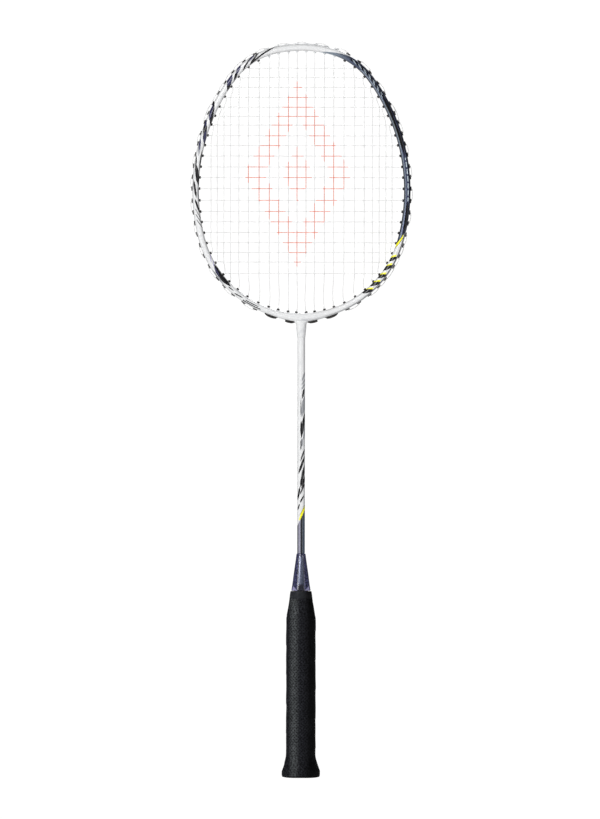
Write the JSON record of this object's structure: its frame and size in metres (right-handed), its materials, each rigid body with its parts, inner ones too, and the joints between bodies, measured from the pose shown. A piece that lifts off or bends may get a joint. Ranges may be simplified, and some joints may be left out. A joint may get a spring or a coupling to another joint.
{
  "type": "badminton racket",
  "caption": "Slim racket with an oval strung head, a thin tubular shaft, a plastic cone and an octagonal wrapped handle.",
  "frame": {"origin": "centre of the butt cap's flat face, at the bottom of the handle", "axes": "+Z along the shaft towards the head, +X to the right across the string bed seen from the front, the string plane is Y = 0 and the front looks along -Y"},
  "size_m": [0.2035, 0.0324, 0.6749],
  "materials": {
    "frame_lacquer": "clear-coated lacquer on carbon, white with navy, black and yellow graphics",
    "composite": "bare carbon composite, out of sight",
    "shaft_lacquer": "clear-coated lacquer, navy below and white above",
    "cone_plastic": "glossy dark navy moulding",
    "handle_wood": "bare pale wood, out of sight",
    "butt_plastic": "satin black moulding",
    "staple_steel": "wire, out of sight",
    "grip_pu": "black perforated polyurethane wrap",
    "finishing_film": "black vinyl film",
    "grommet_pale": "pale translucent nylon",
    "grommet_black": "black nylon",
    "string_nylon": "white multifilament with a red-orange painted patch"
  },
  "bodies": {
    "root": {"head_frame": "frame_lacquer", "t_joint": "composite", "throat_neck": "frame_lacquer", "shaft": "shaft_lacquer", "cone_cap": "cone_plastic", "handle_core": "handle_wood", "butt_cap": "butt_plastic", "butt_staples": "staple_steel", "grip_tape": "grip_pu", "finishing_tape": "finishing_film", "crown_grommets": "grommet_pale", "left_shoulder_grommets": "grommet_black", "right_shoulder_grommets": "grommet_black", "left_side_grommets": "grommet_black", "right_side_grommets": "grommet_black", "left_lower_grommets": "grommet_black", "right_lower_grommets": "grommet_black", "left_throat_grommets": "grommet_black", "right_throat_grommets": "grommet_black", "left_outer_saddle": "grommet_black", "left_inner_saddle": "grommet_black", "right_inner_saddle": "grommet_black", "right_outer_saddle": "grommet_black", "main_string": "string_nylon", "cross_string": "string_nylon"}
  },
  "joints": []
}
